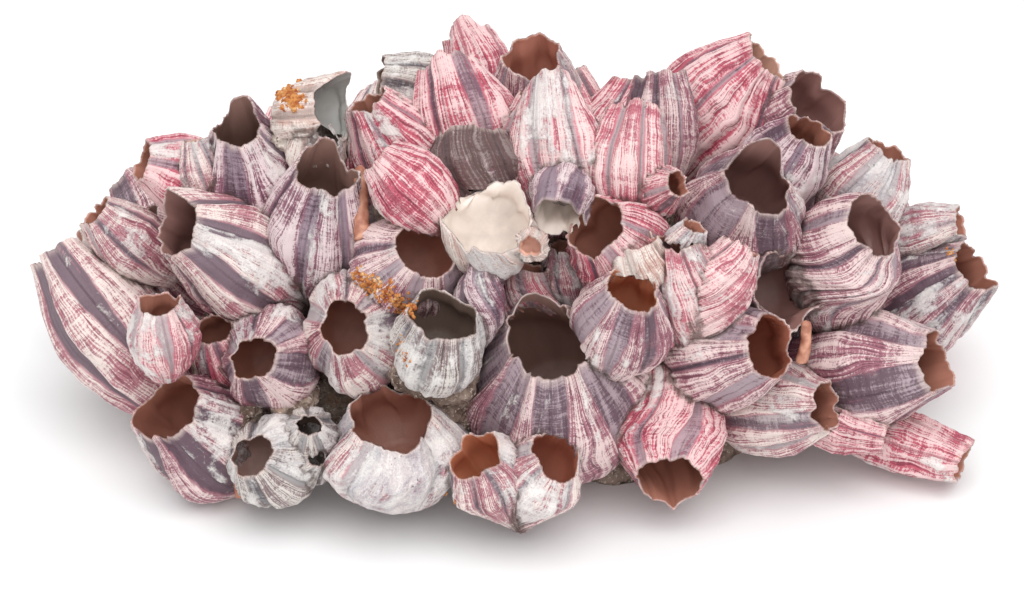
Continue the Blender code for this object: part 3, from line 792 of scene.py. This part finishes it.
# The light, dark and deepest lines of the ribs, and the two tones of the sunken plates
TONES = {
    "rose": (
        ink(240, 204, 204), ink(196, 88, 108), ink(132, 46, 66), ink(118, 84, 98), ink(180, 150, 158),
    ),
    "pink": (
        ink(243, 212, 210), ink(200, 112, 126), ink(146, 70, 88), ink(124, 98, 106), ink(186, 164, 168),
    ),
    "mauve": (
        ink(232, 208, 206), ink(162, 104, 118), ink(104, 56, 70), ink(98, 74, 86), ink(172, 152, 160),
    ),
    "purple": (
        ink(230, 210, 212), ink(144, 94, 112), ink(92, 52, 68), ink(88, 62, 76), ink(154, 134, 146),
    ),
    "white": (
        ink(240, 224, 218), ink(186, 126, 136), ink(132, 66, 82), ink(118, 98, 108), ink(190, 178, 180),
    ),
    "grey": (
        ink(220, 212, 206), ink(148, 128, 128), ink(94, 76, 78), ink(100, 92, 96), ink(160, 156, 156),
    ),
    "cream": (
        ink(240, 230, 222), ink(212, 180, 170), ink(168, 122, 112), ink(182, 160, 152), ink(220, 206, 198),
    ),
}
CHALK = ink(238, 233, 229)
CHALK_SHADE = ink(186, 183, 188)
# Dark brown for dirt, and for the shade painted into crevices and low on the shells
DIRT_AND_SHADE = ink(88, 70, 62)
PITS = ink(78, 54, 54)
LIP_EDGE = ink(228, 206, 198)


def shell_finish(tint):
    """Pale ribs crossed by growth lines, sunken dusky plates, chalk, dirt mixed with painted shade, and a
    smooth hollow with painted shade and light.
    """
    light, dark, deep, dusk, dusk_light = TONES[tint]
    f = Finish(f"shell_{tint}")
    across, share, sunk = f.parts("lines")
    crest, inside, worn = f.parts("marks")
    round_x, round_y, tall = f.parts("unrolled")
    chalk, dirt, close = f.parts("wear_and_shade")
    pale, gloom, shade = f.parts("plates")
    hollow = f.add("ShaderNodeAttribute", {"attribute_name": "hollow_tone"}, output="Color")
    place = f.add("ShaderNodeTexCoord", output="Object")

    bold = f.noise(f.vector(across * 3.0, tall * 0.22, 0.0), 1.0, detail=1.0, warp=0.3)
    fine = f.noise(f.vector(across * 11.0, tall * 0.60, 3.0), 1.0, detail=5.0, rough=0.70, warp=0.5)
    growth_lines = f.vector(round_x * 0.5, round_y * 0.5, tall * 8.0 + crest * 0.9)
    growth = f.noise(growth_lines, 1.0, detail=3.0, rough=0.6)
    patch = f.noise(place, 62.0, detail=2.0)
    cross_lines = f.vector(round_x * 2.0, round_y * 2.0, tall * 26.0 + crest * 1.4)
    lattice = f.noise(cross_lines, 1.0, detail=2.0, rough=0.7)
    grain = f.noise(place, 1700.0, detail=3.0, rough=0.75)
    threads = f.maths("SINE", across * 32.0 + bold * 9.0)
    mottle = bold * 0.32 + fine * 0.62 + growth * 0.40 + lattice * 0.42 + patch * 0.70 + crest * 0.20
    mottle = mottle + grain * 0.45 + threads * 0.075
    ribbed = f.blend(f.between(mottle, 1.43, 1.63), dark, light)
    thin = f.noise(f.vector(across * 13.0, tall * 0.8, 9.0), 1.0, detail=2.0, rough=0.7, warp=0.3)
    thin = thin + growth * 0.25 + patch * 0.25 + crest * 0.12 + grain * 0.25
    ribbed = f.blend(f.between(thin, 0.90, 0.80) * 0.85, ribbed, deep)
    cross = f.noise(f.vector(round_x * 0.8, round_y * 0.8, tall * 15.0), 1.0, detail=2.0, rough=0.7)
    streak = f.noise(f.vector(round_x * 3.6, round_y * 3.6, tall * 0.40), 1.0, detail=6.0, rough=0.72)
    tone = cross * 0.50 + streak * 1.0 + patch * 0.5 + gloom * 0.7 + grain * 0.40 - shade
    dusky = f.blend(f.between(tone, 1.06, 1.32), dusk, dusk_light)
    dusky = f.blend(f.between(streak + cross * 0.2, 0.50, 0.42) * 0.5, dusky, dark)
    outside = f.blend(f.between(sunk, 0.15, 0.75) * f.between(patch + gloom, 0.02, 0.25), ribbed, dusky)
    rim_line = f.between(sunk, 0.02, 0.30) * (1 - f.between(sunk, 0.45, 0.95))
    outside = f.blend(rim_line * f.between(fine, 0.40, 0.55) * 0.75, outside, dark)

    flake_field = f.vector(round_x * 1.1, round_y * 1.1, tall * 0.7)
    flakes = f.noise(flake_field, 1.0, detail=6.0, rough=0.68, warp=0.5)
    cover = flakes + (chalk + pale) * 0.30 + grain * 0.12 + crest * 0.08 + growth * 0.12
    cover = f.between(cover, 0.85, 0.97)
    chalky = f.blend(f.between(grain * 0.5 + flakes, 0.60, 0.92), CHALK_SHADE, CHALK)
    outside = f.blend(cover * 0.82, outside, chalky)
    specks = f.noise(place, 760.0, detail=2.0, rough=0.6)
    outside = f.blend(f.between(specks + patch * 0.25 - dirt * 0.02, 0.42, 0.36) * 0.75, outside, PITS)
    # Dirt mixed with painted shade: dark brown low on each shell, in the crevices where shells meet, and on
    # plates that sit in shade
    soil = f.noise(place, 240.0, detail=5.0, rough=0.75)
    low = 1 - f.between(share, 0.05, 0.60)
    dirt_and_shade_mask = f.between(soil + dirt * 0.26 + low * 0.16 + close * 0.42 - crest * 0.16, 0.74, 1.06)
    outside = f.blend(dirt_and_shade_mask * 0.78, outside, DIRT_AND_SHADE)
    outside = f.blend(worn * f.between(fine, 0.35, 0.60) * 0.6, outside, LIP_EDGE)

    veins = f.noise(f.vector(round_x * 1.4, round_y * 1.4, tall * 0.5), 1.0, detail=3.0)
    # Painted shade and light in the hollow: darker deep inside, lighter than its own tone towards the lip,
    # mottled by the veins
    hollow_light_and_veins = f.between(share, 0.35, 1.0) * 0.45 + veins * 0.55
    shaded = f.blend(hollow_light_and_veins, (0.46, 0.43, 0.42), (1.20, 1.18, 1.16))
    settings = {"data_type": "RGBA", "blend_type": "MULTIPLY"}
    lining = f.add("ShaderNodeMix", settings, {0: 1.0, 6: hollow, 7: shaded}, output=2)
    lining = f.blend(worn * f.between(fine, 0.35, 0.60) * 0.6, lining, LIP_EDGE)
    f.set(Base_Color=f.blend(inside, outside, lining))
    rough = 0.60 - sunk * 0.12 + cover * 0.2
    f.set(Roughness=rough * (1 - inside) + inside * 0.45)
    height = mottle * 0.8 + grain * 0.30 + cover * 0.55 + sunk * cross * 0.5
    outer_relief = height * (1 - inside * 0.85)
    bump = f.add("ShaderNodeBump", None, {"Height": outer_relief, "Strength": 0.8, "Distance": 0.0005})
    f.set(Normal=bump)
    return f.material


def crust_finish():
    """Grit, sand and old broken shell, brown and grey with pale and rusty grains."""
    f = Finish("shell_crust")
    place = f.add("ShaderNodeTexCoord", output="Object")
    lumps = f.noise(place, 120.0, detail=6.0, rough=0.65)
    grit = f.add("ShaderNodeTexVoronoi", None, {"Vector": place, "Scale": 1100.0})
    grains = f.noise(place, 900.0, detail=3.0, rough=0.7)
    base = f.blend(f.between(lumps, 0.35, 0.65), ink(92, 72, 62), ink(168, 148, 134))
    base = f.blend(f.between(grains, 0.56, 0.66) * 0.8, base, ink(222, 208, 196))
    rust = f.noise(place, 60.0, detail=3.0)
    base = f.blend(f.between(rust, 0.62, 0.72) * 0.6, base, ink(168, 108, 70))
    f.set(Base_Color=base, Roughness=0.9)
    bump = f.add("ShaderNodeBump", None, {"Height": lumps + grit * 0.6, "Strength": 0.9, "Distance": 0.0008})
    f.set(Normal=bump)
    return f.material


def build_shells(finishes):
    """Every shell, cut back where an earlier one stands, in one piece for each node."""
    groups = {**NODES, **GAP_SHELLS}
    every = [one for group in groups.values() for one in group]
    for turn, one in enumerate(every):
        one["turn"] = turn
        one["seed"] = one.get("seed", turn)
        grow_shell(one)
    for node, group in groups.items():
        points, faces, slots, titles = [], [], [], []
        arrays = {title: [] for title in ("lines", "marks", "unrolled", "plates", "wear_and_shade", "hollow_tone")}
        start = 0
        for one in group:
            spots, lines, marks, unrolled, plates = shell_arrays(one)
            neighbours = [other for other in every if other is not one and near_each_other(one, other)]
            cutting = {id(o) for o in neighbours if o["turn"] < one["turn"] or any(o is g for g in group)}
            buried, close = settle(spots, neighbours, cutting)
            buried |= spots[:, 2] < -0.0002
            quads, fans = quads_of(one["grid"]["rings"], 0)
            quads = quads[~buried[quads].any(axis=1)]
            fans = fans[~buried[fans].any(axis=1)]
            faces += (quads + start).tolist() + (fans + start).tolist()
            if one["tint"] not in titles:
                titles.append(one["tint"])
            slots += [titles.index(one["tint"])] * (len(quads) + len(fans))
            arrays["lines"].append(lines)
            arrays["marks"].append(marks)
            arrays["unrolled"].append(unrolled)
            arrays["plates"].append(plates)
            # Chalk, dirt with painted shade, and nearness to other shells, which paints shade into the
            # crevices where they meet
            arrays["wear_and_shade"].append(
                np.stack([np.full(len(spots), one["chalk"]), np.full(len(spots), one["dirt"]), close], -1)
            )
            arrays["hollow_tone"].append(np.tile(HOLLOWS[one["hollow"]], (len(spots), 1)))
            points.append(spots)
            start += len(spots)
        values = {title: np.concatenate(rows) for title, rows in arrays.items()}
        make_piece(
            f"{node}_shell",
            np.concatenate(points),
            faces,
            values,
            [finishes[tint] for tint in titles],
            slots,
            node if node in NODES else None,
        )
    return every


def lump(centre, size, seed, rows=26, columns=40, rough=0.17):
    """A lumpy closed blob as points and faces."""
    rise = np.linspace(-math.pi / 2, math.pi / 2, rows + 2)[1:-1]
    turn = 2 * math.pi * np.arange(columns) / columns
    way = np.stack(
        [
            np.cos(rise)[:, None] * np.cos(turn)[None, :],
            np.cos(rise)[:, None] * np.sin(turn)[None, :],
            np.broadcast_to(np.sin(rise)[:, None], (rows, columns)),
        ],
        -1,
    )
    way = np.concatenate([way.reshape(-1, 3), [[0, 0, -1], [0, 0, 1]]])
    reach = 1 + rough * ripple(way, 1.4, seed) + rough * 0.25 * ripple(way, 0.45, seed + 1)
    quads, fans = quads_of((rows, columns), 0)
    return np.array(centre) + way * reach[:, None] * size, quads, fans


def build_clumps(every, name, clumps, finish):
    """Crust between the shells, cut back where it runs into them."""
    points, faces, start = [], [], 0
    for number, (pixel, proud, size) in enumerate(clumps):
        spots, quads, fans = lump(mouth_place(pixel, proud) + CENTRE_SHIFT, size, 300 + number, 60, 90)
        spots += 0.0004 * unit(spots - spots.mean(0)) * ripple(spots, 0.0022, number)[:, None]
        buried, _ = settle(spots, every, {id(one) for one in every})
        buried |= spots[:, 2] < 0.0005
        kept = quads[~buried[quads].any(axis=1)].tolist() + fans[~buried[fans].any(axis=1)].tolist()
        faces += (np.array(face) + start for face in kept)
        points.append(spots)
        start += len(spots)
    faces = [face.tolist() for face in faces]
    make_piece(name, np.concatenate(points), faces, {}, [finish], [0] * len(faces), None)


def nearest_shell(every, place):
    """The first shell met along the line of sight through a place."""
    steps = np.array(place) + np.array(SIGHT) * np.linspace(0.020, -0.040, 121)[:, None]
    depth = np.full(len(steps), -1.0)
    for one in every:
        depth = np.maximum(depth, depth_inside(one, steps))
    touching = np.flatnonzero(depth > 0)
    return steps[touching[0]] if len(touching) else None


def build_growths(every, finish):
    """Crumbs of orange growth, each seated on the shell below it."""
    draw = Random(12)
    points, faces, start = [], [], 0
    for first, last, spread, count, largest in GROWTHS:
        ends = [mouth_place(pixel, 0.0) + CENTRE_SHIFT for pixel in (first, last)]
        middle = (ends[0] + ends[1]) / 2
        near = [one for one in every if ((one["root"] + one["mouth"]) / 2 - middle).length < 0.06]
        for number in range(count):
            aside = SIGHT_RIGHT * draw.gauss(0, spread) + SIGHT_UP * draw.gauss(0, spread)
            seat = nearest_shell(near, ends[0].lerp(ends[1], draw.random()) + aside)
            if seat is None:
                continue
            size = largest * draw.uniform(0.4, 1.0)
            spots, quads, fans = lump(seat, size, draw.randrange(900), 5, 8, 0.35)
            faces += (quads + start).tolist() + (fans + start).tolist()
            points.append(spots)
            start += len(spots)
    spots = np.concatenate(points)
    make_piece("orange_growths", spots, faces, {}, [finish], [0] * len(faces), None)


def build_stumps(finish):
    """Smooth tan stumps with rounded ends."""
    points, faces, start = [], [], 0
    for number, (top, foot, proud, radius) in enumerate(STUMPS):
        ends = [np.array(mouth_place(pixel, proud) + CENTRE_SHIFT) for pixel in (top, foot)]
        rows, columns = 36, 22
        t = np.linspace(0, 1, rows)
        length = np.linalg.norm(ends[1] - ends[0])
        heading = (ends[1] - ends[0]) / length
        across = unit(np.cross(heading, (0.2, 0.9, 0.3))[None, :])[0]
        along = np.cross(heading, across)
        cap = np.sqrt(np.clip(1 - np.clip(1 - t * length / radius, 0, 1) ** 2, 0.02, 1))
        bend = across * radius * 0.5 * math.sin(number)
        middle = ends[0] + (ends[1] - ends[0]) * t[:, None] + bend * np.sin(math.pi * t)[:, None]
        angle = 2 * math.pi * np.arange(columns) / columns
        way = across * np.cos(angle)[:, None] + along * np.sin(angle)[:, None]
        grid = middle[:, None, :] + way[None] * (radius * cap * (1 + 0.25 * t))[:, None, None]
        spots = np.concatenate([grid.reshape(-1, 3), [middle[0] - heading * radius * 0.05, middle[-1]]])
        spots += 0.00012 * ripple(spots, 0.004, number)[:, None]
        quads, fans = quads_of((rows, columns), start)
        faces += quads.tolist() + fans.tolist()
        points.append(spots)
        start += len(spots)
    spots = np.concatenate(points)
    make_piece("tan_stumps", spots, faces, {}, [finish], [0] * len(faces), None)


def stump_finish():
    """Smooth tan flesh-coloured tube, a little waxy."""
    f = Finish("tan_tube")
    place = f.add("ShaderNodeTexCoord", output="Object")
    cloud = f.noise(place, 260.0, detail=3.0)
    tan_tone = f.blend(f.between(cloud, 0.35, 0.70), ink(164, 104, 82), ink(214, 158, 132))
    f.set(Base_Color=tan_tone, Roughness=0.5)
    f.set(Normal=f.add("ShaderNodeBump", None, {"Height": cloud, "Strength": 0.4, "Distance": 0.0003}))
    return f.material


def growth_finish():
    """Crumbly growth from pale yellow to burnt orange."""
    f = Finish("orange_growth")
    place = f.add("ShaderNodeTexCoord", output="Object")
    cloud = f.noise(place, 420.0, detail=4.0, rough=0.7)
    base = f.blend(f.between(cloud, 0.40, 0.56), ink(160, 84, 42), ink(206, 140, 76))
    base = f.blend(f.between(cloud, 0.57, 0.68), base, ink(232, 208, 170))
    f.set(Base_Color=base, Roughness=0.85)
    f.set(Normal=f.add("ShaderNodeBump", None, {"Height": cloud, "Strength": 0.8, "Distance": 0.0004}))
    return f.material


def pale_crust_finish():
    """Cream crust full of small brown pits."""
    f = Finish("pale_crust")
    place = f.add("ShaderNodeTexCoord", output="Object")
    cloud = f.noise(place, 190.0, detail=5.0, rough=0.65)
    pits = f.noise(place, 620.0, detail=2.0)
    base = f.blend(f.between(cloud, 0.38, 0.60), ink(182, 168, 156), ink(240, 232, 222))
    base = f.blend(f.between(pits + cloud * 0.25, 0.52, 0.44), base, ink(104, 82, 68))
    f.set(Base_Color=base, Roughness=0.85)
    f.set(Normal=f.add("ShaderNodeBump", None, {"Height": pits + cloud, "Strength": 1.0, "Distance": 0.0009}))
    return f.material


def build_crust(every, finish):
    """The gritty bed, kept out of the shells."""
    rows, columns = 90, 300
    rise = np.linspace(0, math.pi / 2 * 0.985, rows)
    turn = 2 * math.pi * np.arange(columns) / columns
    way = np.stack(
        [
            np.cos(rise)[:, None] * np.cos(turn)[None, :],
            np.cos(rise)[:, None] * np.sin(turn)[None, :],
            np.broadcast_to(np.sin(rise)[:, None], (rows, columns)),
        ],
        -1,
    )
    points = way * np.array(CORE_HALF)
    points += way * (0.005 * ripple(points, 0.035, 3) + 0.0012 * ripple(points, 0.007, 4))[..., None]
    points += way * (0.0005 * ripple(points, 0.0026, 5))[..., None]
    points[0, :, 2] = 0
    points = points.reshape(-1, 3) + np.array(CENTRE_SHIFT)
    points[:, 2] = np.maximum(points[:, 2], 0)
    middle = np.array(CENTRE_SHIFT)
    points = np.concatenate([points, [middle, middle + (0, 0, CORE_HALF[2])]])
    buried, _ = settle(points, every, {id(one) for one in every})
    quads, fans = quads_of((rows, columns), 0)
    quads = quads[~buried[quads].any(axis=1)]
    fans = fans[~buried[fans].any(axis=1)]
    faces = quads.tolist() + fans.tolist()
    make_piece("bed_of_grit", points, faces, {}, [finish], [0] * len(faces), "basal_crust")


def set_stage():
    """A plain pale floor, soft light from all round and a broad lamp above."""
    mesh = bpy.data.meshes.new("floor")
    mesh.from_pydata([(-3, -3, 0), (3, -3, 0), (3, 3, 0), (-3, 3, 0)], [], [(0, 1, 2, 3)])
    floor = bpy.data.objects.new("floor", mesh)
    bpy.context.scene.collection.objects.link(floor)
    paper = Finish("studio_paper")
    paper.set(Base_Color=(0.89, 0.90, 0.90), Roughness=0.9)
    mesh.materials.append(paper.material)
    world = bpy.data.worlds.new("studio")
    bpy.context.scene.world = world
    world.use_nodes = True
    sky = world.node_tree.nodes["Background"]
    sky.inputs["Color"].default_value = (1, 1, 1, 1)
    sky.inputs["Strength"].default_value = 0.80
    lamp = bpy.data.objects.new("soft_lamp", bpy.data.lights.new("soft_lamp", "SUN"))
    lamp.data.energy = 1.95
    lamp.data.angle = math.radians(60)
    lamp.rotation_euler = (math.radians(26), math.radians(4), 0)
    bpy.context.scene.collection.objects.link(lamp)
    bpy.context.scene.view_settings.view_transform = "Standard"


def set_camera():
    """The photograph's own viewpoint."""
    camera = bpy.data.objects.new("camera", bpy.data.cameras.new("camera"))
    bpy.context.scene.collection.objects.link(camera)
    target = SIGHT_UP * AIM_RISE + CENTRE_SHIFT
    camera.location = target + SIGHT * SIGHT_DISTANCE
    camera.rotation_euler = (-SIGHT).to_track_quat("-Z", "Y").to_euler()
    camera.data.sensor_width = SENSOR
    camera.data.lens = SENSOR * SIGHT_DISTANCE / (PICTURE_WIDTH * PIXEL)
    bpy.context.scene.camera = camera


finishes = {tint: shell_finish(tint) for tint in TONES}
every_shell = build_shells(finishes)
grit = crust_finish()
build_crust(every_shell, grit)
build_clumps(every_shell, "grit_clumps", CLUMPS, grit)
build_clumps(every_shell, "pale_clumps", PALE_CLUMPS, pale_crust_finish())
build_growths(every_shell, growth_finish())
build_stumps(stump_finish())
set_stage()
set_camera()
